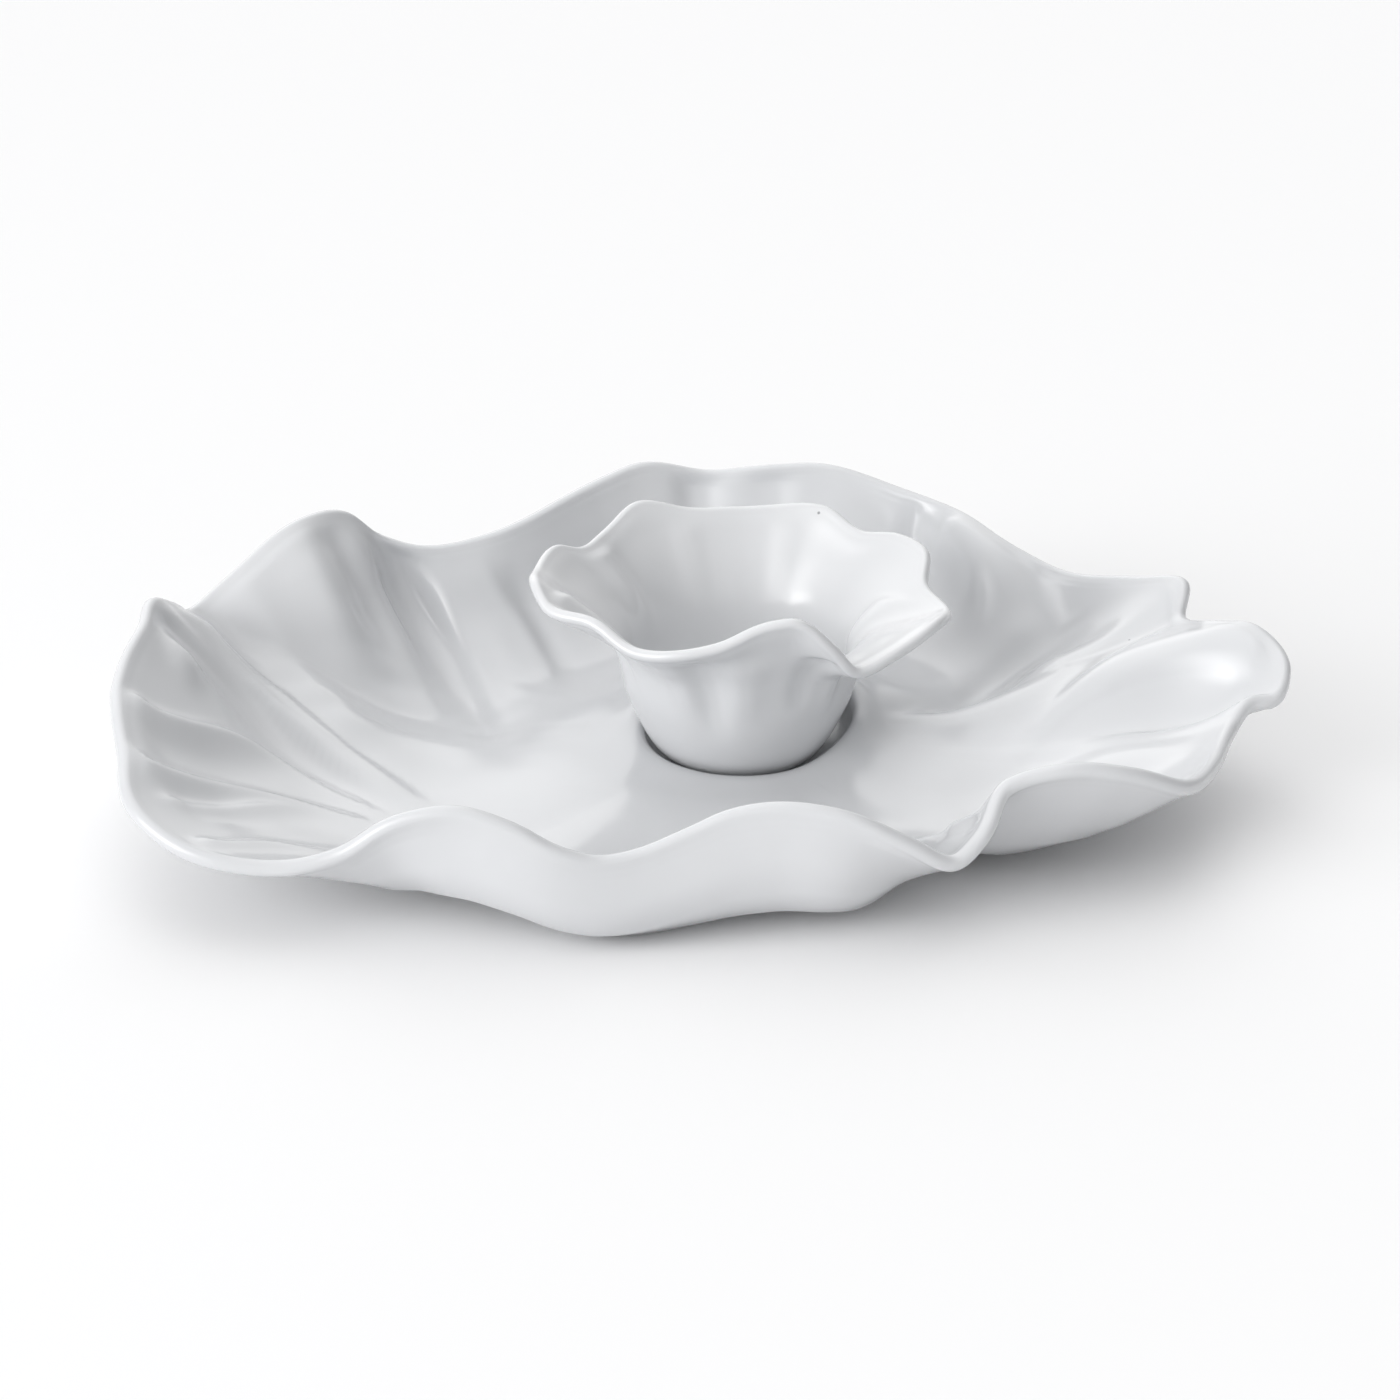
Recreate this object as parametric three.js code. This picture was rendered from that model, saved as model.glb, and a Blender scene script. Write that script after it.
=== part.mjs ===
// Chip and dip server: a ruffled, petal-shaped platter with a round well in its floor, and a
// ruffled dip bowl that stands in the well and lifts straight out.
//
// Millimetres, +Z up. The origin is on the table, on the centre line of the well and of the bowl.
// Every plan angle is measured about that line: 0 is +X (right), 90 is +Y (back), 180 is left and
// 270 is front.

import * as THREE from "three";

// ---------------------------------------------------------------- sizes
const PLATTER = {
  wall: 4.6, // thickness of the moulding
  facetsPerBend: 3, // between one point of the rim and the next
  rimFacets: 4, // round the edge
  ruffleWidth: 34, // waves of the rim up to about this long fade out towards the floor
  ruffleFade: 2.4, // how fast they do: higher keeps them nearer the rim
  foldFade: 8, // how close to the rim the folds reach, in the same way
  foldFrom: 0.12, // share of the way out from the well by which they are in full
};
const WELL = {
  floor: 4,
  radius: 27,
  toe: 3.5, // its floor turns up into its wall over this width,
  toeRise: 1.2, // and rises by this
  wallRun: 1.6, // its wall leans out by this over its upper part,
  wallRise: 0.5, // which starts at this share of the climb to the lip
  lipRound: 1.4,
  underRadius: 30.5,
};
const FOOT = {
  radius: 74, // to the middle of the ring
  width: 5,
  draft: 1.2, // how much wider each side is at the dish than at the table
  round: 0.8,
  clear: 1.2, // from the table to the lowest of the underside outside it
};
const BOWL = {
  wall: 3.8,
  seat: 4.3, // its underside, just clear of the floor of the well
  footRadius: 24,
  footRound: 1.2,
  facetsPerBend: 3,
  rimFacets: 4,
  ruffleWidth: 22,
  ruffleFade: 3.4,
};

const FLOOR_RING = 0.6; // each round floor has a ring at this share of its radius
const FOLD_SAMPLES = 10; // along a fold, for each of its points
const FOLD_FOCUS = 4; // how sharply a fold takes its height from its nearest part

// The platter's rim, anticlockwise from the tip of the left petal: plan position and height of the
// middle of its edge, at each crest, dip and bend.
const PLATTER_RIM = [
  // Left petal, from its raised tip down its long edge to the front.
  [-222, -3, 67], [-222, -22, 65], [-225, -44, 61], [-225, -68, 56], [-218, -100, 48],
  [-210, -131, 40], [-188, -149, 31], [-158, -154, 28],
  // Front left wave.
  [-137, -154, 33], [-119, -156, 45], [-98, -158, 50], [-78, -161, 45], [-63, -162, 37], [-49, -161, 33],
  // Front wave.
  [-35, -159, 35], [-20, -157, 41], [-4, -156, 48], [14, -157, 51], [36, -159, 48],
  [56, -158, 38], [71, -154, 30],
  // Right front wave.
  [82, -147, 38], [90, -135, 49], [112, -131, 54], [135, -126, 50], [154, -115, 41], [168, -86, 36],
  [179, -54, 37],
  // Right petal: a tongue that rolls down at its end, then a notch with a pointed corner.
  [187, -44, 43], [198, -39, 44], [202, -26, 53], [193, -11, 60], [182, 0, 57], [171, 26, 50],
  [173, 38, 60], [158, 53, 56],
  // Back right, low then rising behind the bowl.
  [132, 75, 50], [110, 95, 55], [92, 117, 61], [68, 133, 66],
  // Two shallow waves at the back.
  [38, 143, 73], [12, 145, 72], [-12, 148, 69], [-38, 143, 74], [-60, 131, 69],
  // A dip, then the broad crest of the back left petal.
  [-96, 107, 57], [-125, 98, 53], [-146, 97, 59], [-160, 92, 70], [-178, 76, 70],
  // The edge falls behind the left petal's tip, and climbs to it.
  [-200, 54, 56], [-214, 38, 48], [-218, 17, 58],
];

// The bowl's rim, anticlockwise from its pointed left petal, in the same way.
const BOWL_RIM = [
  // Left petal and the front left dip.
  [-76, -16, 80], [-70, -27, 74], [-54, -38, 73], [-40, -48, 66], [-26, -56, 67],
  // Front wave and the front right dip.
  [-8, -58, 71], [8, -57, 78], [21, -56, 79], [33, -55, 69], [42, -51, 59],
  // Right petal.
  [56, -44, 63], [72, -29, 69], [77, -10, 67], [70, 9, 70], [71, 24, 78], [61, 37, 80],
  // Back waves.
  [47, 44, 79], [33, 56, 85], [6, 61, 83], [-18, 59, 83], [-39, 55, 87],
  // Back left dip, up to the left petal's second point.
  [-51, 43, 80], [-60, 30, 77], [-70, 23, 80], [-76, 4, 78],
];

// By plan angle: radius and height of the well's lip.
const WELL_LIP = [
  [0, 44, 22], [45, 48, 27], [90, 46, 26], [135, 42, 20], [180, 37, 15], [225, 35.5, 12.5],
  [270, 35, 11.5], [315, 36, 12.5],
];

// By plan angle, the platter's section between the lip and the rim. The floor ends at a share of the
// way out and at a height; the wall passes through a share of the way out and of the climb.
const DISH_SECTION = [
  [5, 0.14, 19, 0.7, 0.5], [18, 0.42, 18, 0.78, 0.42], [35, 0.52, 17, 0.8, 0.45],
  [60, 0.5, 18, 0.82, 0.42], [90, 0.5, 18, 0.86, 0.45], [120, 0.5, 14, 0.85, 0.42],
  [150, 0.5, 10, 0.8, 0.4], [180, 0.45, 8, 0.75, 0.35], [205, 0.5, 8, 0.78, 0.35],
  [221, 0.55, 8, 0.8, 0.45], [229, 0.62, 7, 0.87, 0.3], [238, 0.78, 6, 0.96, 0.2],
  [252, 0.85, 5.5, 1.01, 0.22], [264, 0.85, 5.5, 1.01, 0.22], [274, 0.83, 5.5, 0.98, 0.2],
  [284, 0.8, 5.5, 0.94, 0.2], [298, 0.5, 7, 0.68, 0.24], [311, 0.55, 7, 0.78, 0.14],
  [326, 0.45, 9, 0.78, 0.25], [345, 0.3, 13, 0.75, 0.42],
];

// Folds pressed into the dish. Each runs through plan points with its height there (a groove's is
// negative), and falls away over a width to its left and to its right, seen along the run.
const FOLDS = [
  // Left petal: the scoop inside its tip and the shoulder behind it.
  { run: [[-216, 10, -3], [-186, -10, -6], [-160, -50, -3], [-146, -90, 0]], left: 14, right: 20 },
  { run: [[-212, 52, 4], [-188, 34, 6], [-164, 10, 5], [-142, -30, 2], [-130, -70, 0]], left: 16, right: 10 },
  // Back left petal: the broad swell behind its crest and the groove beside it.
  { run: [[-173, 84, 5], [-162, 64, 11], [-153, 44, 7], [-142, 20, 0]], left: 11, right: 24 },
  {
    run: [[-146, 98, -4], [-135, 84, -8], [-119, 61, -6], [-101, 29, -3], [-86, -12, 0]],
    left: 12,
    right: 12,
  },
  { run: [[-112, 96, 3], [-92, 72, 4], [-72, 40, 0]], left: 14, right: 14 },
  // Back right: a deep short valley beside a swell, and the flank that falls from it to the right.
  { run: [[62, 136, -3], [70, 120, -8], [80, 104, -6], [90, 86, 0]], left: 11, right: 11 },
  { run: [[88, 122, 5], [98, 104, 12], [106, 86, 8], [110, 70, 0]], left: 13, right: 12 },
  { run: [[114, 86, 0], [126, 70, -5], [145, 58, -3]], left: 12, right: 9 },
  // Right petal: the line where it rises from the floor, the slope's foot and swelling middle, the
  // tongue's ridge, and the groove before it.
  {
    run: [[152, 56, -3], [128, 52, -7], [106, 44, -8], [82, 20, -5], [62, 0, -3], [30, -48, 0]],
    left: 22,
    right: 12,
  },
  { run: [[104, -6, -1], [96, -38, -2], [94, -72, -1]], left: 12, right: 12 },
  { run: [[150, 12, 3], [140, -30, 5], [134, -70, 2]], left: 20, right: 20 },
  { run: [[204, -22, 8], [182, -8, 5], [140, -6, 2], [98, -25, 0]], left: 13, right: 14 },
  { run: [[186, -44, -2], [154, -30, -4], [116, -37, -2], [78, -70, 0]], left: 11, right: 11 },
];

// Section of the bowl's wall under its ruffled rim: radius and height.
const BOWL_SECTION = [[32, 14], [41.5, 34], [46.5, 54]];

// ---------------------------------------------------------------- curves
// A closed smooth curve through the points, as that many samples from each point to the next.
function closedCurve(points, samplesPerPoint) {
  const through = points.map(([x, y, z]) => new THREE.Vector3(x, y, z));
  const curve = new THREE.CatmullRomCurve3(through, true, "centripetal");
  return curve.getPoints(points.length * samplesPerPoint).slice(0, -1);
}

// A closed curve with its waves up to that width averaged away, at the same samples.
function averaged(samples, width) {
  const count = samples.length;
  const steps = samples.map((p, i) => p.distanceTo(samples[(i + 1) % count]));
  const share = (i) => (steps[i] + steps[(i + count - 1) % count]) / 2;
  return samples.map((centre, i) => {
    const sum = new THREE.Vector3().addScaledVector(centre, share(i));
    let weights = share(i);
    for (const way of [1, -1]) {
      let away = 0;
      for (let k = i; away < 3 * width; ) {
        away += steps[way > 0 ? k : (k + count - 1) % count];
        k = (k + way + count) % count;
        const weight = share(k) * Math.exp(-((away / width) ** 2) / 2);
        sum.addScaledVector(samples[k], weight);
        weights += weight;
      }
    }
    return sum.divideScalar(weights);
  });
}

// A table keyed by plan angle, read at any angle: a smooth curve through each of its columns.
function byAngle(table, angle) {
  const at = THREE.MathUtils.euclideanModulo(angle, 360);
  const rows = table.length;
  const next = table.findIndex(([key]) => key > at);
  const k = (next < 0 ? rows : next) - 1;
  const row = (i) => table[(i + rows) % rows];
  const key = (i) => row(i)[0] + 360 * Math.floor(i / rows);
  const width = key(k + 1) - key(k);
  const t = (at - key(k)) / width;
  return row(k).slice(1).map((_, c) => {
    const value = (i) => row(i)[c + 1];
    const slope = (i) => ((value(i + 1) - value(i - 1)) / (key(i + 1) - key(i - 1))) * width;
    const rise = value(k + 1) - value(k);
    const ease = t * t * (3 - 2 * t);
    return value(k) + rise * ease + slope(k) * t * (1 - t) ** 2 - slope(k + 1) * t * t * (1 - t);
  });
}

// A section through points of radius and height, as points at the given shares of its length.
function section(points, shares) {
  const through = points.map(([radius, z]) => new THREE.Vector3(radius, 0, z));
  const curve = new THREE.CatmullRomCurve3(through, false, "centripetal");
  return shares.map((share) => curve.getPointAt(share));
}

const planAngle = (p) => THREE.MathUtils.radToDeg(Math.atan2(p.y, p.x));
const planRadius = (p) => Math.hypot(p.x, p.y);
const onAxis = (z) => new THREE.Vector3(0, 0, z);

// A point at that plan angle, radius and height.
function polar(angle, radius, z) {
  const a = THREE.MathUtils.degToRad(angle);
  return new THREE.Vector3(radius * Math.cos(a), radius * Math.sin(a), z);
}

// ---------------------------------------------------------------- shells
// Unit normals of a sheet of rings, pointing up or inwards, from each vertex's four neighbours.
function sheetNormals(rings) {
  return rings.map((ring, k) =>
    ring.map((_, i) => {
      const inner = rings[Math.max(k - 1, 0)][i];
      const outer = rings[Math.min(k + 1, rings.length - 1)][i];
      const before = ring[(i + ring.length - 1) % ring.length];
      const after = ring[(i + 1) % ring.length];
      const along = new THREE.Vector3().subVectors(outer, inner);
      const round = new THREE.Vector3().subVectors(after, before);
      return along.cross(round).normalize();
    }),
  );
}

// The rings moved along their normals.
const offset = (rings, normals, distance) =>
  rings.map((ring, k) => ring.map((p, i) => p.clone().addScaledVector(normals[k][i], distance)));

// The half round that joins a sheet's two faces at its rim.
function roundedRim(rings, normals, thickness, steps) {
  const rim = rings.at(-1);
  const inner = rings.at(-2);
  const made = [];
  for (let s = 1; s < steps; s++) {
    const turn = (Math.PI * s) / steps;
    made.push(
      rim.map((p, i) => {
        const normal = normals.at(-1)[i];
        const outward = new THREE.Vector3().subVectors(p, inner[i]);
        outward.addScaledVector(normal, -outward.dot(normal)).normalize();
        return p.clone()
          .addScaledVector(normal, (Math.cos(turn) * thickness) / 2)
          .addScaledVector(outward, (Math.sin(turn) * thickness) / 2);
      }),
    );
  }
  return made;
}

// One closed solid from rings that run from its top pole, over the rim, to its bottom pole.
function closedSolid(topPole, rings, bottomPole) {
  const count = rings[0].length;
  const vertices = [topPole, ...rings.flat(), bottomPole];
  const bottom = vertices.length - 1;
  const at = (k, i) => 1 + k * count + (i % count);
  const faces = [];
  for (let i = 0; i < count; i++) {
    faces.push(0, at(0, i), at(0, i + 1));
    for (let k = 0; k < rings.length - 1; k++) {
      faces.push(at(k, i), at(k + 1, i), at(k + 1, i + 1));
      faces.push(at(k, i), at(k + 1, i + 1), at(k, i + 1));
    }
    faces.push(bottom, at(rings.length - 1, i + 1), at(rings.length - 1, i));
  }
  const geometry = new THREE.BufferGeometry().setFromPoints(vertices);
  geometry.setIndex(faces);
  geometry.computeVertexNormals();
  return geometry;
}

// ---------------------------------------------------------------- platter
// Height of one fold at a place in plan: that of the near part of its run, less the fall-off
// to the side.
function foldHeight({ samples, left, right }, p) {
  let sum = 0;
  let weights = Number.MIN_VALUE;
  for (let i = 1; i < samples.length; i++) {
    const [from, to] = [samples[i - 1], samples[i]];
    const side = (to.x - from.x) * (p.y - from.y) - (to.y - from.y) * (p.x - from.x);
    const away = Math.hypot(p.x - to.x, p.y - to.y) / (side > 0 ? left : right);
    const nearness = Math.exp(-(away ** 2));
    const weight = nearness ** FOLD_FOCUS;
    sum += weight * nearness * to.z;
    weights += weight;
  }
  return sum / weights;
}

// The middle surface of the dish, as rings from the well's lip out to the rim.
function dishRings(shares) {
  const rim = closedCurve(PLATTER_RIM, PLATTER.facetsPerBend);
  const calm = averaged(rim, PLATTER.ruffleWidth);
  const columns = rim.map((edge, i) => {
    const angle = planAngle(calm[i]);
    const [lipRadius, lipHeight] = byAngle(WELL_LIP, angle);
    const [floorReach, floorHeight, wallReach, wallRise] = byAngle(DISH_SECTION, angle);
    const radiusAt = (reach) => THREE.MathUtils.lerp(lipRadius, planRadius(calm[i]), reach);
    const points = [
      [lipRadius, lipHeight - PLATTER.wall / 2],
      [radiusAt(floorReach), floorHeight],
      [radiusAt(wallReach), THREE.MathUtils.lerp(floorHeight, calm[i].z, wallRise)],
      [radiusAt(1), calm[i].z],
    ];
    const ruffle = new THREE.Vector3().subVectors(edge, calm[i]);
    return section(points, shares).map(({ x: radius, z }, k) =>
      polar(angle, radius, z).addScaledVector(ruffle, shares[k] ** PLATTER.ruffleFade),
    );
  });
  const smooth = shares.map((_, k) => columns.map((column) => column[k]));
  const normals = sheetNormals(smooth);
  const folds = FOLDS.map(({ run, ...widths }) => {
    const curve = new THREE.CatmullRomCurve3(run.map((point) => new THREE.Vector3(...point)));
    return { samples: curve.getPoints(FOLD_SAMPLES * run.length), ...widths };
  });
  return smooth.map((ring, k) =>
    ring.map((p, i) => {
      const height = folds.reduce((sum, fold) => sum + foldHeight(fold, p), 0);
      const fade = (1 - shares[k] ** PLATTER.foldFade) * Math.min(1, shares[k] / PLATTER.foldFrom);
      return p.clone().addScaledVector(normals[k][i], height * fade);
    }),
  );
}

// Height of a sheet of rings at station i and plan radius r.
function heightAt(rings, i, r) {
  const k = rings.findIndex((ring) => planRadius(ring[i]) >= r);
  const [inner, outer] = [rings[k - 1][i], rings[k][i]];
  const t = (r - planRadius(inner)) / (planRadius(outer) - planRadius(inner));
  return THREE.MathUtils.lerp(inner.z, outer.z, t);
}

function platterGeometry() {
  const half = PLATTER.wall / 2;
  const shares = [0, 0.06, 0.14, 0.23, 0.32, 0.41, 0.5, 0.59, 0.67, 0.75, 0.83, 0.9, 0.96, 1];
  const dish = dishRings(shares);
  const normals = sheetNormals(dish);
  const angles = dish[0].map(planAngle);
  const lips = angles.map((angle) => byAngle(WELL_LIP, angle));

  // The well: a flat round floor, then a wall that rises to the lip.
  const wellShares = [0, 0.3, 0.62, 0.95];
  const wellColumns = lips.map(([lipRadius, lipHeight]) => {
    const points = [
      [WELL.radius, WELL.floor],
      [WELL.radius + WELL.toe, WELL.floor + WELL.toeRise],
      [lipRadius - WELL.wallRun, THREE.MathUtils.lerp(WELL.floor, lipHeight, WELL.wallRise)],
      [lipRadius, lipHeight],
    ];
    return section(points, wellShares);
  });
  const wellRing = (k) => angles.map((angle, i) => polar(angle, wellColumns[i][k].x, wellColumns[i][k].z));
  const well = wellShares.map((_, k) => wellRing(k));
  const lip = angles.map((angle, i) => polar(angle, lips[i][0] + WELL.lipRound, lips[i][1]));

  // The underside, from the rim in to the foot ring and the flat under the well.
  const footOuter = FOOT.radius + FOOT.width / 2;
  const footInner = FOOT.radius - FOOT.width / 2;
  const clearRadius = footOuter + FOOT.draft + FOOT.width;
  const under = offset(dish, normals, -half);
  const outside = under.filter((ring) => ring.every((p) => planRadius(p) > clearRadius));
  for (const p of outside.flat()) p.z = Math.max(p.z, FOOT.clear);
  const underAt = (radiusOf) =>
    angles.map((angle, i) => polar(angle, radiusOf(i), heightAt(dish, i, radiusOf(i)) - half));
  const level = (radius, z) => angles.map((angle) => polar(angle, radius, z));

  const rings = [
    level(WELL.radius * FLOOR_RING, WELL.floor),
    ...well,
    lip,
    ...offset(dish, normals, half).slice(1),
    ...roundedRim(dish, normals, PLATTER.wall, PLATTER.rimFacets),
    ...outside.reverse(),
    underAt(() => footOuter + FOOT.draft),
    level(footOuter, FOOT.round),
    level(footOuter - FOOT.round, 0),
    level(footInner + FOOT.round, 0),
    level(footInner, FOOT.round),
    underAt(() => footInner - FOOT.draft),
    underAt((i) => lips[i][0] + PLATTER.wall),
    level(WELL.underRadius, 0),
  ];
  return closedSolid(onAxis(WELL.floor), rings, onAxis(0));
}

// ---------------------------------------------------------------- bowl
function bowlGeometry() {
  const half = BOWL.wall / 2;
  const floor = BOWL.seat + half;
  const rim = closedCurve(BOWL_RIM, BOWL.facetsPerBend);
  const calm = averaged(rim, BOWL.ruffleWidth);
  const shares = [0, 0.1, 0.2, 0.3, 0.4, 0.5, 0.6, 0.7, 0.8, 0.9, 1];
  const columns = rim.map((edge, i) => {
    const ruffle = new THREE.Vector3().subVectors(edge, calm[i]);
    const points = [[BOWL.footRadius, floor], ...BOWL_SECTION, [planRadius(calm[i]), calm[i].z]];
    return section(points, shares).map(({ x: radius, z }, k) =>
      polar(planAngle(calm[i]), radius, z).addScaledVector(ruffle, shares[k] ** BOWL.ruffleFade),
    );
  });
  const wall = shares.map((_, k) => columns.map((column) => column[k]));
  const normals = sheetNormals(wall);
  const level = (radius, z) => calm.map((p) => polar(planAngle(p), radius, z));
  const rings = [
    level(BOWL.footRadius * FLOOR_RING, floor + half),
    level(BOWL.footRadius - half, floor + half),
    ...offset(wall, normals, half).slice(1),
    ...roundedRim(wall, normals, BOWL.wall, BOWL.rimFacets),
    ...offset(wall, normals, -half).slice(1).reverse(),
    level(BOWL.footRadius + BOWL.footRound, BOWL.seat + BOWL.footRound),
    level(BOWL.footRadius, BOWL.seat),
  ];
  return closedSolid(onAxis(floor + half), rings, onAxis(BOWL.seat));
}

// ---------------------------------------------------------------- assembly
const glossyWhite = () => new THREE.MeshStandardMaterial({ color: 0xe9eaec, roughness: 0.18, metalness: 0 });

function part(name, geometry) {
  const mesh = new THREE.Mesh(geometry, glossyWhite());
  mesh.name = name;
  return mesh;
}

const server = new THREE.Group();
server.add(part("platter", platterGeometry()));
server.add(part("dip_bowl", bowlGeometry()));

export default server;
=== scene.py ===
"""Looks of the chip and dip server: a ruffled platter and the dip bowl that stands in its well."""

import math

import bpy
import numpy as np
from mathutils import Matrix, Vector


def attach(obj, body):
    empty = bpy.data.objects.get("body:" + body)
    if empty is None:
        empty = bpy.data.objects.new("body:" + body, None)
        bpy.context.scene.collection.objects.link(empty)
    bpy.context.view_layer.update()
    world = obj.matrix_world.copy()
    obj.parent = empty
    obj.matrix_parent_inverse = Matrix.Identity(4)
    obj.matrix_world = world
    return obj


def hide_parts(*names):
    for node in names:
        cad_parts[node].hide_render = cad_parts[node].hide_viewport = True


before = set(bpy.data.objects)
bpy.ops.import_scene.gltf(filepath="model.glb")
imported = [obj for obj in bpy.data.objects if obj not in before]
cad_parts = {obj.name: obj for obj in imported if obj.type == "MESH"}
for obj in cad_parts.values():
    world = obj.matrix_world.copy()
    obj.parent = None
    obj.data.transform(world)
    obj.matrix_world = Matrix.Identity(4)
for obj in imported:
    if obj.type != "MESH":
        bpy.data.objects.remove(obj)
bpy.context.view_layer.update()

MM = 0.001

# ------------------------------------------------------------------ sizes
CAMERA_TARGET = Vector((-0.015, -0.016, 0.034))
CAMERA_DISTANCE = 1.25
CAMERA_ELEVATION = math.radians(22)
LENS_MM = 85
SENSOR_MM = 36

# How finely each shell is redrawn: columns for each of the CAD's, and the gap between rings on the
# upper face, beside the rim, round it and on the underside, in mm.
PLATTER_MESH = {"columns": 5, "upper": 2.7, "edge": 1.7, "rim": 1.2, "under": 14.5}
BOWL_MESH = {"columns": 8, "upper": 1.6, "edge": 1.2, "rim": 0.8, "under": 1.9}

# The bead along each rim, in mm: how far it stands out, how far in from the edge it reaches and over
# what width it falls away.
PLATTER_BEAD = {"height": 0.75, "reach": 5.6, "fall": 2.6}
BOWL_BEAD = {"height": 0.45, "reach": 4.4, "fall": 2.2}

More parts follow.
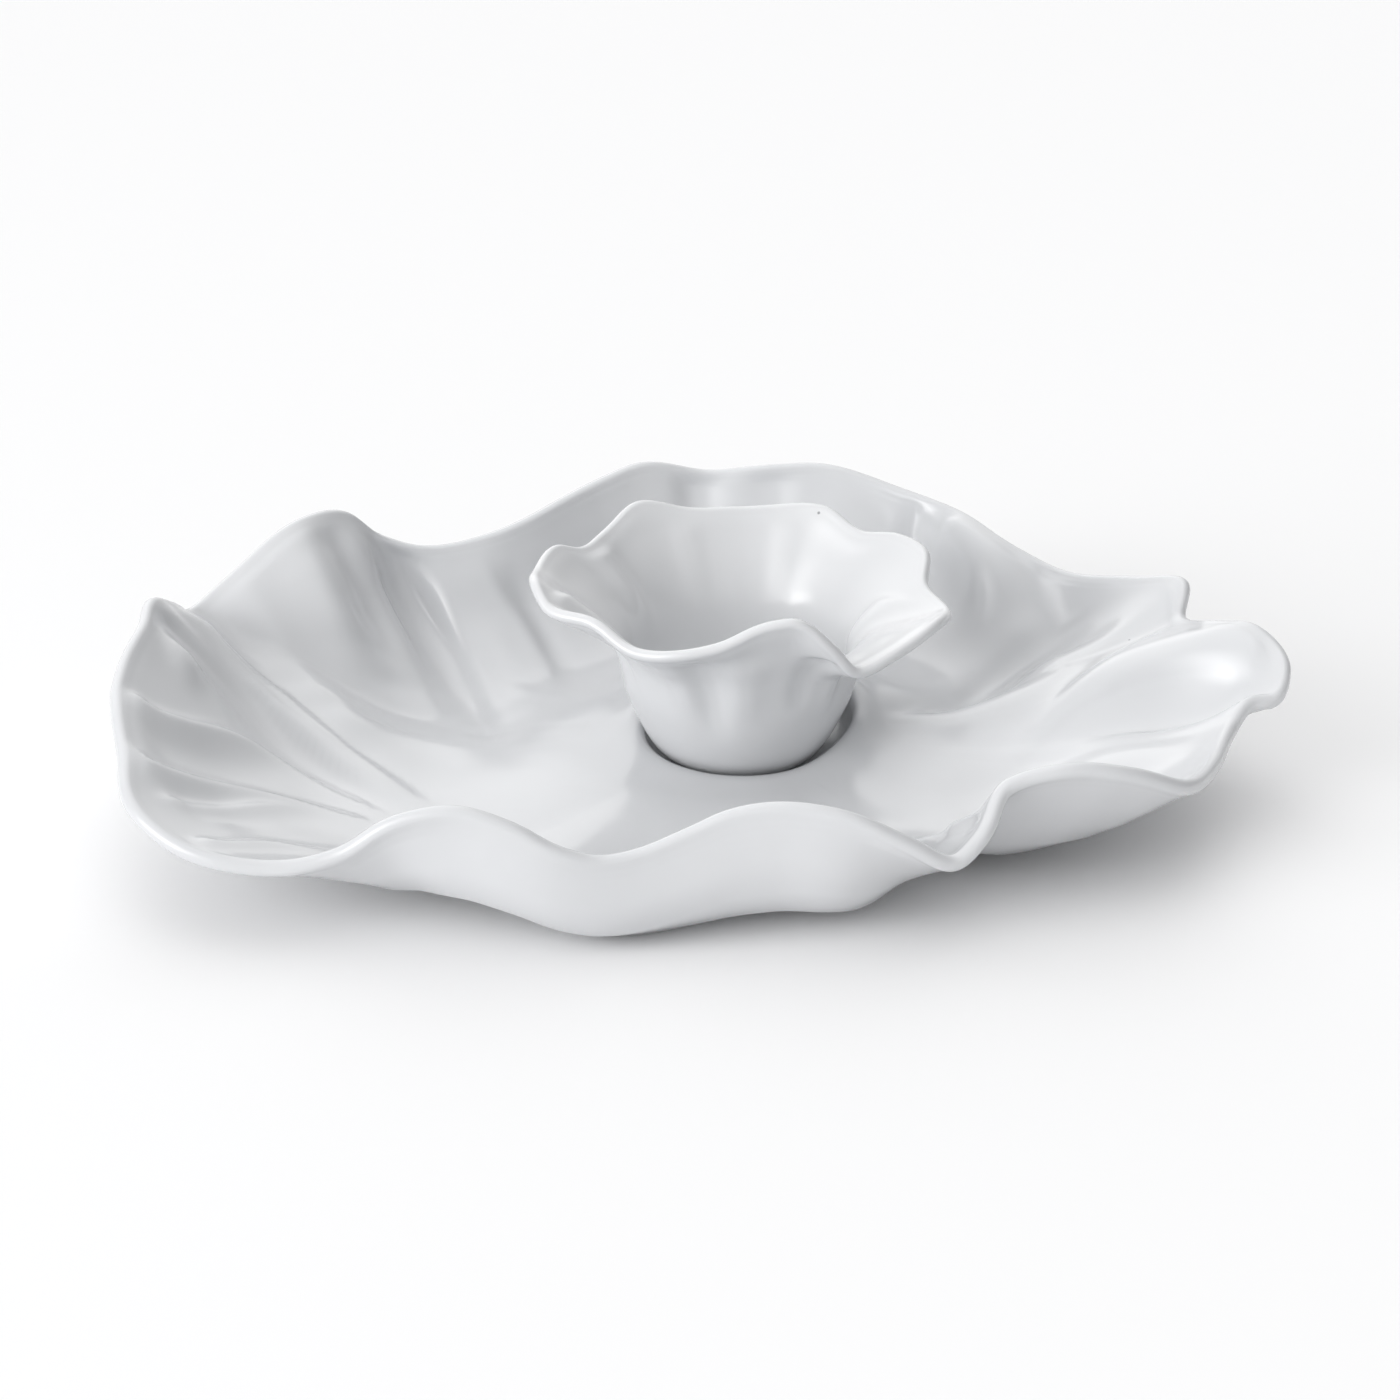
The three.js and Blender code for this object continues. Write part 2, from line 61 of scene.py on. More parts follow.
# Creases pressed into the platter. Each runs through plan points (x, y, in mm) and rises by `height`
# mm (a groove's is negative). It falls away over `width` mm to its left and to its right, seen along
# the run: roundly at a `shape` of 2, with a flat top above that and a sharp one below. It grows from
# nothing over a share of its length at its first and its last end.
PLATTER_CREASES = [
    # Left petal: the flat-topped pleat that runs from behind its tip, and the slit along it.
    {"run": [(-216, 20), (-207, 14), (-195, 8), (-182, 0), (-170, -10), (-152, -28), (-130, -50),
             (-108, -78)],
     "height": 3.2, "width": (4.2, 4.2), "shape": 3.4, "ends": (0.08, 0.45)},
    {"run": [(-206, 16), (-190, 7), (-172, -7), (-158, -20)],
     "height": -1.2, "width": (1.7, 1.7), "shape": 2, "ends": (0.2, 0.4)},
    {"run": [(-222, -4), (-214, -8), (-204, -8), (-190, -12), (-172, -26), (-154, -46), (-132, -74)],
     "height": -3.6, "width": (4.4, 8), "shape": 2, "ends": (0.1, 0.6)},
    {"run": [(-208, 32), (-194, 22), (-176, 8), (-158, -10), (-138, -34)],
     "height": -2.6, "width": (7, 4), "shape": 2, "ends": (0.2, 0.5)},
    {"run": [(-216, -26), (-207, -24), (-198, -24)],
     "height": 2.6, "width": (7, 7), "shape": 2, "ends": (0.4, 0.5)},
    # Its ribs, which run together at the front of the floor.
    {"run": [(-225, -66), (-214, -68), (-203, -61), (-192, -51), (-181, -45), (-170, -45), (-160, -50),
             (-148, -59), (-134, -71), (-118, -88)],
     "height": 2.8, "width": (1.7, 5.0), "shape": 1.3, "ends": (0.05, 0.5)},
    {"run": [(-221, -98), (-210, -104), (-197, -97), (-182, -86), (-170, -81), (-156, -78), (-138, -82),
             (-122, -94)],
     "height": 2.8, "width": (1.7, 5.0), "shape": 1.3, "ends": (0.06, 0.5)},
    {"run": [(-206, -124), (-192, -114), (-179, -101), (-166, -88), (-150, -84)],
     "height": 1.8, "width": (1.8, 4.0), "shape": 1.4, "ends": (0.15, 0.5)},
    {"run": [(-190, -144), (-178, -138), (-166, -127), (-152, -122), (-136, -116)],
     "height": 2.0, "width": (1.8, 4.0), "shape": 1.4, "ends": (0.1, 0.5)},
    {"run": [(-216, -86), (-200, -80), (-184, -68), (-166, -62)],
     "height": -2.2, "width": (8, 8), "shape": 2, "ends": (0.2, 0.5)},
    {"run": [(-200, -120), (-184, -108), (-168, -100)],
     "height": -1.6, "width": (7, 7), "shape": 2, "ends": (0.2, 0.5)},
    # Back left petal: the soft valley beside its swell, the ridge after it, and the long sharp crease.
    {"run": [(-166, 84), (-159, 74), (-150, 66), (-142, 58), (-134, 46)],
     "height": -2.4, "width": (4, 6), "shape": 2, "ends": (0.2, 0.5)},
    {"run": [(-158, 90), (-150, 83), (-142, 75), (-134, 64), (-124, 48)],
     "height": 2.0, "width": (3.4, 4.5), "shape": 2, "ends": (0.15, 0.5)},
    {"run": [(-150, 95), (-140, 93), (-131, 87), (-122, 78), (-113, 64), (-105, 42), (-95, 6),
             (-82, -32)],
     "height": -3.4, "width": (2.8, 7), "shape": 1.5, "ends": (0.1, 0.75)},
    {"run": [(-126, 97), (-116, 84), (-104, 62), (-95, 36), (-86, 8)],
     "height": 1.0, "width": (2.2, 2.8), "shape": 1.6, "ends": (0.2, 0.6)},
    {"run": [(-110, 100), (-98, 92), (-86, 82), (-76, 60), (-68, 30)],
     "height": 0.9, "width": (2.2, 3.0), "shape": 1.6, "ends": (0.2, 0.6)},
    {"run": [(-96, 102), (-84, 92), (-72, 74), (-62, 50)],
     "height": -0.9, "width": (3.0, 3.0), "shape": 2, "ends": (0.2, 0.6)},
    # Its crest lies back: a broad swell along the middle of the wall.
    {"run": [(-198, 32), (-186, 45), (-174, 54), (-162, 60), (-150, 65)],
     "height": 3.6, "width": (12, 14), "shape": 2, "ends": (0.3, 0.3)},
    # Back waves.
    {"run": [(-17, 146), (-15, 130), (-13, 112)],
     "height": -2.2, "width": (5, 5), "shape": 2, "ends": (0.05, 0.7)},
    {"run": [(14, 146), (14, 130), (14, 112)],
     "height": -2.0, "width": (6, 6), "shape": 2, "ends": (0.05, 0.7)},
    # Back right: the sharp bottom of the valley, and the swell beside it.
    {"run": [(66, 128), (74, 116), (82, 102), (90, 88), (98, 72)],
     "height": -3.0, "width": (4, 5), "shape": 1.7, "ends": (0.15, 0.5)},
    {"run": [(90, 120), (99, 104), (107, 86), (112, 68)],
     "height": 3.4, "width": (12, 6), "shape": 2, "ends": (0.15, 0.5)},
    # Right petal: the line where it rises from the floor, and the swell before it.
    {"run": [(148, 53), (138, 57), (126, 58), (112, 54), (98, 43), (84, 22), (70, -4)],
     "height": -3.4, "width": (10, 4), "shape": 1.6, "ends": (0.25, 0.4)},
    {"run": [(144, 38), (126, 42), (110, 37), (96, 22)],
     "height": 3.6, "width": (14, 9), "shape": 2, "ends": (0.4, 0.5)},
    # The fold from its notch, the tongue's ridge, and the groove before it.
    {"run": [(170, 28), (160, 26), (148, 19), (134, 8), (116, -6), (96, -24)],
     "height": -2.2, "width": (4, 6), "shape": 1.8, "ends": (0.05, 0.5)},
    {"run": [(202, -20), (188, -15), (173, -11), (155, -8), (137, -10), (116, -22), (96, -42)],
     "height": 2.0, "width": (8, 5), "shape": 2, "ends": (0.08, 0.5)},
    {"run": [(190, -38), (181, -28), (170, -21), (155, -18), (140, -19), (124, -22), (106, -34),
             (86, -58)],
     "height": -2.2, "width": (8, 3), "shape": 1.7, "ends": (0.1, 0.5)},
    {"run": [(168, -62), (148, -54), (126, -56), (104, -72), (86, -96)],
     "height": 1.8, "width": (6, 6), "shape": 2, "ends": (0.2, 0.5)},
    {"run": [(150, -92), (130, -84), (110, -90), (92, -106)],
     "height": -1.4, "width": (5, 5), "shape": 2, "ends": (0.2, 0.5)},
    # Front right: fine creases that fan into the valley between two waves.
    {"run": [(74, -146), (72, -132), (76, -112), (86, -90)],
     "height": 1.2, "width": (1.6, 1.8), "shape": 1.6, "ends": (0.15, 0.5)},
    {"run": [(71, -144), (66, -128), (64, -108), (66, -86)],
     "height": 1.1, "width": (1.6, 1.8), "shape": 1.6, "ends": (0.15, 0.5)},
    {"run": [(77, -144), (80, -128), (90, -112), (104, -98)],
     "height": -1.2, "width": (2.0, 2.0), "shape": 1.8, "ends": (0.15, 0.5)},
]

# The same on the bowl, as (plan angle in degrees, height in mm) down its wall: negative presses the
# wall in, positive swells it out.
BOWL_CREASES = [
    {"run": [(192, 78), (196, 66), (204, 50), (212, 36)],
     "height": -2.32, "width": (2.4, 2.4), "shape": 2, "ends": (0.1, 0.6)},
    {"run": [(252, 68), (255, 54), (258, 38), (260, 24)],
     "height": -2.17, "width": (4.0, 4.0), "shape": 2, "ends": (0.2, 0.4)},
    {"run": [(240, 64), (243, 50), (246, 34)],
     "height": 1.45, "width": (3.6, 3.6), "shape": 2, "ends": (0.25, 0.5)},
    {"run": [(272, 66), (272, 50), (272, 34)],
     "height": 1.59, "width": (4.4, 4.4), "shape": 2, "ends": (0.25, 0.5)},
    {"run": [(300, 66), (299, 52), (297, 36)],
     "height": -2.03, "width": (3.0, 3.0), "shape": 2, "ends": (0.15, 0.5)},
    {"run": [(318, 60), (316, 46), (313, 32)],
     "height": 1.74, "width": (2.6, 2.6), "shape": 2, "ends": (0.15, 0.6)},
    {"run": [(8, 68), (4, 54), (0, 38)],
     "height": -1.74, "width": (3.0, 3.0), "shape": 2, "ends": (0.15, 0.6)},
    {"run": [(112, 82), (110, 64), (106, 44)],
     "height": -0.6, "width": (3.0, 3.0), "shape": 2, "ends": (0.15, 0.6)},
    {"run": [(150, 80), (148, 62), (144, 42)],
     "height": -1.89, "width": (3.0, 3.0), "shape": 2, "ends": (0.15, 0.6)},
    {"run": [(70, 84), (70, 66), (70, 46)],
     "height": -0.5, "width": (3.0, 3.0), "shape": 2, "ends": (0.15, 0.6)},
]
BOWL_RADIUS = 46  # mm: turns a plan angle into a length round the bowl's wall
BOWL_SEAM = -30  # degrees: the plan angle where that length starts
RUN_SAMPLES = 60
CREASE_REACH = 5  # widths beyond which a crease is nothing
CREST_ROUND = 0.25  # rounds a crest, as a share of its width
EDGE_CLEAR = 1.0  # mm in from the edge where a crease starts to grow
EDGE_FADE = 9.0  # mm over which it reaches its full height
UNDER_CLEAR = 1.5  # mm above the table below which the platter's underside takes no crease
UNDER_FADE = 8  # mm above that over which it comes to take them whole
BOWL_CLEAR = 12  # mm: the same on both faces of the bowl
BOWL_FADE = 12
LEVEL = 0.01  # mm: a ring whose heights differ by less is level
WELD = 1e-3  # mm: vertices of the CAD mesh that round to the same multiple are one
SHORT_CHORD = 1.6  # times the shortest beside the outermost ring: still in the half round of the rim
TINY = 1e-9  # mm2: keeps a pole's normal from dividing by nothing


# ------------------------------------------------------------------ shells
def shell_grid(node):
    """A CAD shell's vertices as rings from its top pole over its rim to its bottom pole, in mm.

    The shell is a stack of closed rings with one pole at each end. Counted in edges from the top
    pole, ring k is the set of vertices k steps away."""
    mesh = node.data
    co = np.empty(len(mesh.vertices) * 3)
    mesh.vertices.foreach_get("co", co)
    co = co.reshape(-1, 3) / MM
    cells = np.round(co / WELD).astype(np.int64)
    _, first, welded = np.unique(cells, axis=0, return_index=True, return_inverse=True)
    welded = welded.ravel()
    points = co[first]
    near = [set() for _ in points]
    for edge in mesh.edges:
        a, b = (int(welded[v]) for v in edge.vertices)
        if a != b:
            near[a].add(b)
            near[b].add(a)
    poles = sorted(range(len(points)), key=lambda v: -len(near[v]))[:2]
    top, bottom = sorted(poles, key=lambda v: -points[v][2])
    layers = [{top}]
    seen = {top}
    while bottom not in layers[-1]:
        layers.append({n for v in layers[-1] for n in near[v]} - seen)
        seen |= layers[-1]
    rings = []
    for layer in layers[1:-1]:
        start = max(layer, key=lambda v: tuple(points[v]))
        ring = [start]
        while True:
            onward = [n for n in near[ring[-1]] if n in layer and n not in ring[-2:]]
            if not onward or (len(ring) > 2 and start in onward):
                break
            ring.append(onward[0])
        ring = points[ring]
        x, y = ring[:, 0], ring[:, 1]
        if np.sum(x * np.roll(y, -1) - np.roll(x, -1) * y) < 0:
            ring = ring[::-1]
        rings.append(ring)
    for k in range(1, len(rings)):
        ring, before = rings[k], rings[k - 1]
        misses = [np.sum((np.roll(ring, s, axis=0) - before) ** 2) for s in range(len(ring))]
        rings[k] = np.roll(ring, int(np.argmin(misses)), axis=0)
    count = len(rings[0])
    ends = [np.repeat(points[[v]], count, axis=0) for v in (top, bottom)]
    return np.array([ends[0], *rings, ends[1]])


def more_columns(grid, factor):
    """The grid with `factor` columns for each of its own, on a smooth closed curve round each ring."""
    count = grid.shape[1]
    wave = 2 * np.pi * np.fft.fftfreq(count)[None, :, None]
    spectrum = np.fft.fft(grid, axis=1) * 3j * np.sin(wave) / (2 + np.cos(wave))
    slopes = np.real(np.fft.ifft(spectrum, axis=1))
    after, slope_after = np.roll(grid, -1, 1), np.roll(slopes, -1, 1)
    out = np.empty((grid.shape[0], count * factor, 3))
    for s in range(factor):
        t = s / factor
        out[:, s::factor] = (
            (2 * t**3 - 3 * t**2 + 1) * grid
            + (t**3 - 2 * t**2 + t) * slopes
            + (3 * t**2 - 2 * t**3) * after
            + (t**3 - t**2) * slope_after
        )
    return out


def ring_slopes(grid, chords):
    """Each column's slope at each ring: smooth in bend along the walls, and held flat enough not to
    swing past its neighbours at the level rings of the floors and the foot."""
    count = len(grid)
    matrix = np.zeros((count, count))
    right = np.empty(grid.shape)
    rise = np.diff(grid, axis=0) / chords[:, None, None]
    matrix[0, :2] = matrix[-1, -1:-3:-1] = 2, 1
    right[0], right[-1] = 3 * rise[0], 3 * rise[-1]
    for k in range(1, count - 1):
        before, after = chords[k - 1], chords[k]
        matrix[k, k - 1 : k + 2] = after, 2 * (before + after), before
        right[k] = 3 * (rise[k - 1] * after + rise[k] * before)
    slopes = np.linalg.solve(matrix, right.reshape(count, -1)).reshape(grid.shape)
    held = np.zeros_like(grid)
    product = rise[:-1] * rise[1:]
    rising = product > 0
    held[1:-1][rising] = (2 * product[rising]) / (rise[:-1] + rise[1:])[rising]
    held[0], held[-1] = rise[0], rise[-1]
    level = np.ptp(grid[..., 2], axis=1) < LEVEL
    near = level | np.roll(level, 1) | np.roll(level, -1)
    slopes[near] = held[near]
    return slopes


def more_rings(grid, gap_at):
    """The grid with rings about gap_at(k) apart after ring k, on a smooth curve along each column.
    Also gives each new ring's place in the old count."""
    chords = np.linalg.norm(np.diff(grid, axis=0), axis=2).mean(1)
    slopes = ring_slopes(grid, chords)
    rings, places = [], []
    for k, chord in enumerate(chords):
        steps = math.ceil(chord / gap_at(k))
        for s in range(steps):
            t = s / steps
            rings.append(
                (2 * t**3 - 3 * t**2 + 1) * grid[k]
                + (t**3 - 2 * t**2 + t) * chord * slopes[k]
                + (3 * t**2 - 2 * t**3) * grid[k + 1]
                + (t**3 - t**2) * chord * slopes[k + 1]
            )
            places.append(k + t)
    rings.append(grid[-1])
    places.append(len(grid) - 1)
    return np.array(rings), np.array(places)


def normals_of(grid):
    """Outward unit normals of a grid of rings, from each vertex's four neighbours."""
    along = np.gradient(grid, axis=0)
    around = np.roll(grid, -1, 1) - np.roll(grid, 1, 1)
    normals = np.cross(along, around)
    lengths = np.linalg.norm(normals, axis=2, keepdims=True)
    normals = normals / np.maximum(lengths, TINY)
    normals[0] = (0, 0, 1)
    normals[-1] = (0, 0, -1)
    return normals


def smooth_run(points):
    """A smooth curve through the points, as many close samples, with each one's share of the run."""
    p = np.array(points, float)
    p = np.vstack([2 * p[0] - p[1], p, 2 * p[-1] - p[-2]])
    spans = len(p) - 3
    samples = []
    for u in np.linspace(0, spans, RUN_SAMPLES):
        k = min(int(u), spans - 1)
        t = u - k
        a, b, c, d = p[k : k + 4]
        bend = (2 * a - 5 * b + 4 * c - d) * t**2
        twist = (3 * b - a - 3 * c + d) * t**3
        samples.append(0.5 * (2 * b + (c - a) * t + bend + twist))
    samples = np.array(samples)
    gaps = np.linalg.norm(np.diff(samples, axis=0), axis=1)
    shares = np.concatenate([[0], np.cumsum(gaps)]) / gaps.sum()
    return samples, shares


def ease(t):
    t = np.clip(t, 0, 1)
    return t * t * (3 - 2 * t)


def crease_heights(places, creases):
    """The height of all the creases together at each place, a point in the creases' plane."""
    total = np.zeros(places.shape[:-1])
    for crease in creases:
        samples, shares = smooth_run(crease["run"])
        reach = CREASE_REACH * max(crease["width"])
        low, high = samples.min(0) - reach, samples.max(0) + reach
        close = np.all((places > low) & (places < high), axis=-1)
        spots = places[close]
        start, delta = samples[:-1], np.diff(samples, axis=0)
        rel = spots[:, None] - start[None]
        t = np.clip((rel * delta).sum(2) / (delta**2).sum(1), 0, 1)
        away = np.linalg.norm(rel - t[..., None] * delta, axis=2)
        nearest = away.argmin(1)
        rows = np.arange(len(spots))
        distance = away[rows, nearest]
        share = shares[nearest] + t[rows, nearest] * np.diff(shares)[nearest]
        grow = ease(share / crease["ends"][0]) * ease((1 - share) / crease["ends"][1])
        turn = delta[nearest, 0] * rel[rows, nearest, 1] - delta[nearest, 1] * rel[rows, nearest, 0]
        left, right = crease["width"]
        blend = 0.5 + 0.5 * np.tanh(turn / np.linalg.norm(delta[nearest], axis=1))
        width = right + (left - right) * blend
        fall = np.sqrt((distance / width) ** 2 + CREST_ROUND**2) - CREST_ROUND
        total[close] += crease["height"] * grow * np.exp(-(fall ** crease["shape"]) / 2)
    return total


def shell_object(name, grid, rim_share):
    """A closed mesh object from a grid of rings in mm, whose first and last rings are poles. Each
    ring's share of the rim bead is kept on its vertices, for the wear there."""
    rows, count, _ = grid.shape
    body = grid[1:-1].reshape(-1, 3)
    verts = np.vstack([grid[0, :1], body, grid[-1, :1]]) * MM
    last = len(verts) - 1

    def at(k, i):
        return 1 + k * count + i % count

    faces = [(0, at(0, i), at(0, i + 1)) for i in range(count)]
    for k in range(rows - 3):
        faces += [(at(k, i), at(k + 1, i), at(k + 1, i + 1), at(k, i + 1)) for i in range(count)]
    faces += [(last, at(rows - 3, i + 1), at(rows - 3, i)) for i in range(count)]
    mesh = bpy.data.meshes.new(name)
    mesh.from_pydata([tuple(v) for v in verts], [], faces)
    mesh.polygons.foreach_set("use_smooth", [True] * len(mesh.polygons))
    mesh.update()
    worn = mesh.attributes.new("rim", "FLOAT", "POINT")
    worn.data.foreach_set("value", np.concatenate([[0], np.repeat(rim_share[1:-1], count), [0]]))
    piece = bpy.data.objects.new(name, mesh)
    bpy.context.scene.collection.objects.link(piece)
    return piece


def wall_side(grid, normals, places, rim_from, rim_to):
    """The way to move each vertex so that both faces of the wall go to its upper side together."""
    side = np.where((places < (rim_from + rim_to) / 2)[:, None, None], normals, -normals)
    in_rim = (places > rim_from) & (places < rim_to)
    above = side[np.flatnonzero(places <= rim_from)[-1]]
    below = side[np.flatnonzero(places >= rim_to)[0]]
    for k in np.flatnonzero(in_rim):
        t = (places[k] - rim_from) / (rim_to - rim_from)
        side[k] = above * (1 - t) + below * t
    return side


def rim_rings(grid):
    """The first and last ring of the half round that joins the two faces: the short chords beside the
    outermost ring."""
    chords = np.linalg.norm(np.diff(grid, axis=0), axis=2).mean(1)
    mid = int(np.argmax(np.hypot(grid[..., 0], grid[..., 1]).mean(1)))
    first = last = mid
    limit = SHORT_CHORD * min(chords[mid - 1], chords[mid])
    while chords[first - 1] < limit:
        first -= 1
    while chords[last] < limit:
        last += 1
    return first, last


def fine_shell(node_name, sizes, bead):
    """The CAD shell redrawn finely, with the bead along its rim. Gives its grid, each ring's place in
    the CAD's count, the way creases move each vertex, the place where the underside starts, and each
    ring's share of the bead."""
    grid = shell_grid(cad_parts[node_name])
    first, last = rim_rings(grid)

    def gap_at(k):
        if first <= k < last:
            return sizes["rim"]
        if k in (first - 1, last):
            return sizes["edge"]
        return sizes["upper"] if k < first else sizes["under"]

    grid, places = more_rings(more_columns(grid, sizes["columns"]), gap_at)
    normals = normals_of(grid)
    side = wall_side(grid, normals, places, first, last)
    chords = np.linalg.norm(np.diff(grid, axis=0), axis=2).mean(1)
    run = np.concatenate([[0], np.cumsum(chords)])
    from_edge = np.abs(run - np.interp((first + last) / 2, places, run))
    rim_share = ease((bead["reach"] - from_edge) / bead["fall"])
    grid = grid + normals * (bead["height"] * rim_share)[:, None, None]
    side = side * ease((from_edge - EDGE_CLEAR) / EDGE_FADE)[:, None, None]
    return grid, places, side, last, rim_share


# ------------------------------------------------------------------ platter and bowl
grid, places, side, rim_end, rim_share = fine_shell("platter", PLATTER_MESH, PLATTER_BEAD)
heights = crease_heights(grid[..., :2], PLATTER_CREASES)
under = (places > rim_end)[:, None]
room = ease((grid[..., 2] - UNDER_CLEAR) / UNDER_FADE)
heights = np.where(under, heights * room, heights)
grid = grid + side * heights[..., None]
grid[..., 2] = np.maximum(grid[..., 2], 0)
platter = shell_object("platter_shell", grid, rim_share)

grid, _, side, _, rim_share = fine_shell("dip_bowl", BOWL_MESH, BOWL_BEAD)
angle = (np.degrees(np.arctan2(grid[..., 1], grid[..., 0])) - BOWL_SEAM) % 360 + BOWL_SEAM
spots = np.stack([np.radians(angle) * BOWL_RADIUS, grid[..., 2]], axis=-1)
creases = [
    {**c, "run": [(math.radians(a) * BOWL_RADIUS, z) for a, z in c["run"]]} for c in BOWL_CREASES
]
heights = crease_heights(spots, creases)
heights *= ease((grid[..., 2] - BOWL_CLEAR) / BOWL_FADE)
grid = grid - side * heights[..., None]  # `side` points into the bowl
bowl = shell_object("dip_bowl_shell", grid, rim_share)


# ------------------------------------------------------------------ material
# Linear colours: the moulding's, and the tint it clouds towards.
PLATTER_COLOURS = ((0.66, 0.668, 0.683), (0.635, 0.644, 0.66))
BOWL_COLOURS = ((0.70, 0.707, 0.72), (0.68, 0.688, 0.702))
SPECK_COLOUR = (0.42, 0.42, 0.43)
SPECK_SCALE = 26
SPECK_EDGE = (0.012, 0.02)  # where a speck ends, as a share of the gap between specks
CLOUD_EDGE = (0.35, 0.65)  # of the cloud noise: from the tint to the colour
ROUGHNESS = 0.12
PATCH_RANGE = (0.3, 0.75)  # of the wear noise: from polished to dullest
PATCH_MORE = 0.1  # what the dullest patches add to the roughness
RIM_MORE = 0.07  # and the scuffs along the rim
IOR = 1.55
# Noises, as (scale, detail, roughness).
CLOUD = (14, 3, 0.5)
PATCHES = (38, 5, 0.6)
SCUFFS = (160, 4, 0.65)
RIPPLES = (34, 1.5, 0.5)
PEEL = (420, 2, 0.5)
# Reliefs, as (strength, distance in m).
RIPPLE_RELIEF = (0.35, 0.0006)
PEEL_RELIEF = (0.1, 0.00008)


def melamine(name, colour, tint):
    """Glossy moulded melamine: near-white, faintly clouded, softly rippled, with sparse specks."""
    material = bpy.data.materials.new(name)
    material.use_nodes = True
    nodes, links = material.node_tree.nodes, material.node_tree.links
    shader = nodes["Principled BSDF"]
    shader.inputs["IOR"].default_value = IOR
    where = nodes.new("ShaderNodeTexCoord")

    def noise(settings):
        node = nodes.new("ShaderNodeTexNoise")
        for socket, value in zip(("Scale", "Detail", "Roughness"), settings):
            node.inputs[socket].default_value = value
        links.new(where.outputs["Object"], node.inputs["Vector"])
        return node.outputs["Fac"]

    def ramp(source, positions, colours):
        node = nodes.new("ShaderNodeValToRGB")
        links.new(source, node.inputs["Fac"])
        for element, position, stop in zip(node.color_ramp.elements, positions, colours):
            element.position = position
            element.color = (*stop, 1)
        return node.outputs["Color"]

    def relief(height, settings):
        node = nodes.new("ShaderNodeBump")
        node.inputs["Strength"].default_value, node.inputs["Distance"].default_value = settings
        links.new(noise(height), node.inputs["Height"])
        return node

    # Colour: a slow cloud in the moulding, and a few darker specks in it.
    cloud = ramp(noise(CLOUD), CLOUD_EDGE, (tint, colour))
    specks = nodes.new("ShaderNodeTexVoronoi")
    specks.inputs["Scale"].default_value = SPECK_SCALE
    links.new(where.outputs["Object"], specks.inputs["Vector"])
    speck = ramp(specks.outputs["Distance"], SPECK_EDGE, (SPECK_COLOUR, (1, 1, 1)))
    mix = nodes.new("ShaderNodeMix")
    mix.data_type = "RGBA"
    mix.blend_type = "MULTIPLY"
    mix.inputs["Factor"].default_value = 1.0
    links.new(cloud, mix.inputs["A"])
    links.new(speck, mix.inputs["B"])
    links.new(mix.outputs["Result"], shader.inputs["Base Color"])

    # Roughness: polished, with duller worn patches and along the rim.
    worn = nodes.new("ShaderNodeMapRange")
    worn.inputs["From Min"].default_value, worn.inputs["From Max"].default_value = PATCH_RANGE
    worn.inputs["To Min"].default_value = ROUGHNESS
    worn.inputs["To Max"].default_value = ROUGHNESS + PATCH_MORE
    links.new(noise(PATCHES), worn.inputs["Value"])
    edge = nodes.new("ShaderNodeAttribute")
    edge.attribute_name = "rim"
    scuffs = nodes.new("ShaderNodeMath")
    scuffs.operation = "MULTIPLY"
    links.new(edge.outputs["Fac"], scuffs.inputs[0])
    links.new(noise(SCUFFS), scuffs.inputs[1])
    rough = nodes.new("ShaderNodeMath")
    rough.operation = "MULTIPLY_ADD"
    rough.inputs[1].default_value = RIM_MORE
    links.new(scuffs.outputs[0], rough.inputs[0])
    links.new(worn.outputs["Result"], rough.inputs[2])
    links.new(rough.outputs[0], shader.inputs["Roughness"])

    # Relief: slow ripples of the mould, and a fine orange peel.
    ripple = relief(RIPPLES, RIPPLE_RELIEF)
    peel = relief(PEEL, PEEL_RELIEF)
    links.new(ripple.outputs["Normal"], peel.inputs["Normal"])
    links.new(peel.outputs["Normal"], shader.inputs["Normal"])
    return material


platter.data.materials.append(melamine("platter_melamine", *PLATTER_COLOURS))
bowl.data.materials.append(melamine("bowl_melamine", *BOWL_COLOURS))

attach(platter, "platter")
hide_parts("platter")
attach(bowl, "dip_bowl")
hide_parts("dip_bowl")

# ------------------------------------------------------------------ floor, light and camera
FLOOR_HALF = 20
FLOOR_COLOUR = (0.9, 0.9, 0.905, 1)
FLOOR_ROUGHNESS = 0.9
KEY = {"around": 25, "up": 10, "size": 1.1, "power": 10}
LIGHT_DISTANCE = 2.2
WHITE = (1, 1, 1, 1)
floor_mesh = bpy.data.meshes.new("floor")
corners = [(-1, -1), (1, -1), (1, 1), (-1, 1)]
floor_mesh.from_pydata([(x * FLOOR_HALF, y * FLOOR_HALF, 0) for x, y in corners], [], [(0, 1, 2, 3)])
floor = bpy.data.objects.new("floor", floor_mesh)
bpy.context.scene.collection.objects.link(floor)
paper = bpy.data.materials.new("paper")
paper.use_nodes = True
paper_shader = paper.node_tree.nodes["Principled BSDF"]
paper_shader.inputs["Base Color"].default_value = FLOOR_COLOUR
paper_shader.inputs["Roughness"].default_value = FLOOR_ROUGHNESS
floor_mesh.materials.append(paper)


def direction(around, up):
    """The unit vector `around` degrees from the left towards the front and `up` from level."""
    around, up = math.radians(around), math.radians(up)
    return Vector((-math.cos(around) * math.cos(up), -math.sin(around) * math.cos(up), math.sin(up)))


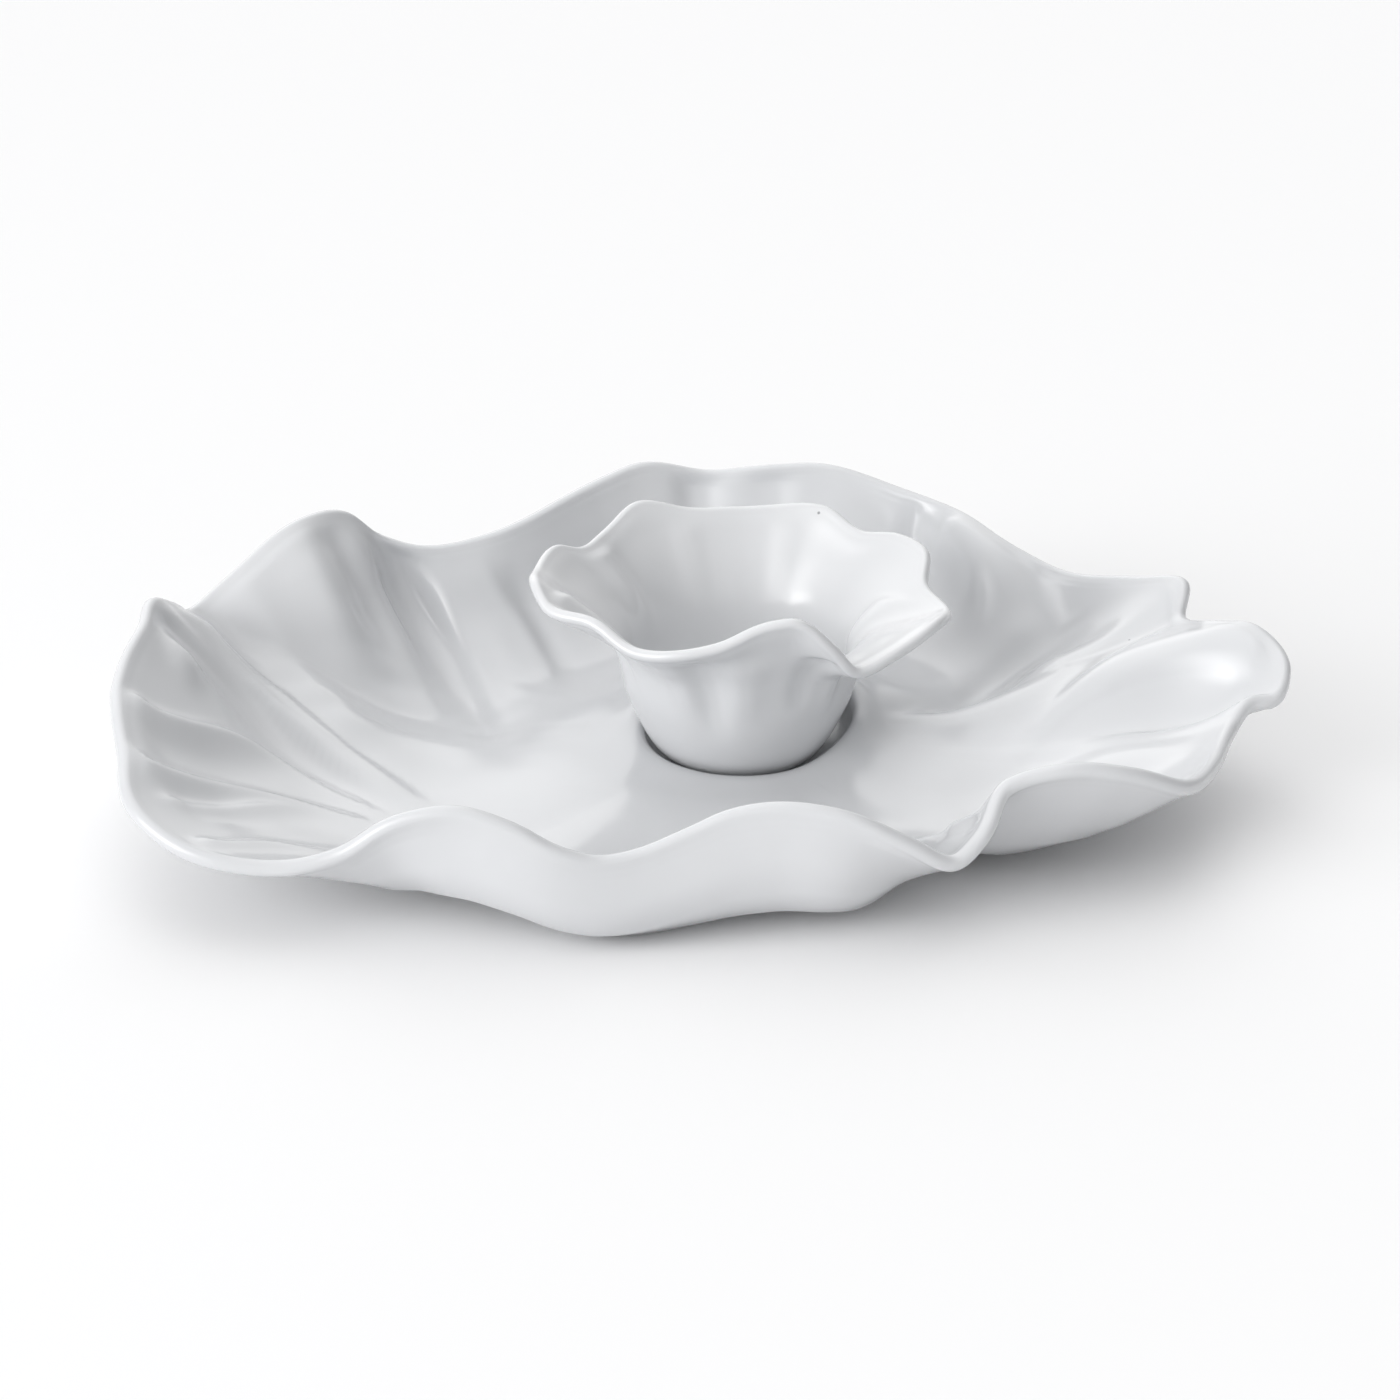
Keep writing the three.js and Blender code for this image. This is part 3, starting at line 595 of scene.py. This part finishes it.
# The studio's walls: a sum of soft glows as (around, up, sharpness, strength). Each is strongest in
# its own direction and nothing on the far half of the sky.
GLOWS = [(35, 20, 14, 5.1), (-80, 30, 4, 1.85), (110, 20, 4, 0.95), (0, 90, 6, 1.5)]
world = bpy.data.worlds.new("studio")
bpy.context.scene.world = world
world.use_nodes = True
nodes, links = world.node_tree.nodes, world.node_tree.links
sky_way = nodes.new("ShaderNodeTexCoord").outputs["Generated"]
total = None
for around, up, sharpness, strength in GLOWS:
    along = nodes.new("ShaderNodeVectorMath")
    along.operation = "DOT_PRODUCT"
    along.inputs[1].default_value = direction(around, up)
    links.new(sky_way, along.inputs[0])
    facing = nodes.new("ShaderNodeMath")
    facing.operation = "MAXIMUM"
    facing.inputs[1].default_value = 0
    links.new(along.outputs["Value"], facing.inputs[0])
    glow = nodes.new("ShaderNodeMath")
    glow.operation = "POWER"
    glow.inputs[1].default_value = sharpness
    links.new(facing.outputs[0], glow.inputs[0])
    added = nodes.new("ShaderNodeMath")
    added.operation = "MULTIPLY_ADD"
    added.inputs[1].default_value = strength
    added.inputs[2].default_value = 0
    links.new(glow.outputs[0], added.inputs[0])
    if total is not None:
        links.new(total, added.inputs[2])
    total = added.outputs[0]
links.new(total, nodes["Background"].inputs["Strength"])
nodes["Background"].inputs["Color"].default_value = WHITE


def soft_light(name, around, up, size, power):
    """A square soft box in that direction."""
    towards = direction(around, up)
    light = bpy.data.lights.new(name, "AREA")
    light.energy = power
    light.size = size
    lamp = bpy.data.objects.new(name, light)
    bpy.context.scene.collection.objects.link(lamp)
    lamp.location = CAMERA_TARGET + towards * LIGHT_DISTANCE
    lamp.rotation_mode = "QUATERNION"
    lamp.rotation_quaternion = towards.to_track_quat("Z", "Y")


soft_light("key", **KEY)

back = Vector((0, -math.cos(CAMERA_ELEVATION), math.sin(CAMERA_ELEVATION)))
camera_data = bpy.data.cameras.new("camera")
camera_data.lens = LENS_MM
camera_data.sensor_width = SENSOR_MM
camera = bpy.data.objects.new("camera", camera_data)
bpy.context.scene.collection.objects.link(camera)
camera.location = CAMERA_TARGET + back * CAMERA_DISTANCE
camera.rotation_mode = "QUATERNION"
camera.rotation_quaternion = back.to_track_quat("Z", "Y")
bpy.context.scene.camera = camera
bpy.context.scene.view_settings.view_transform = "Standard"
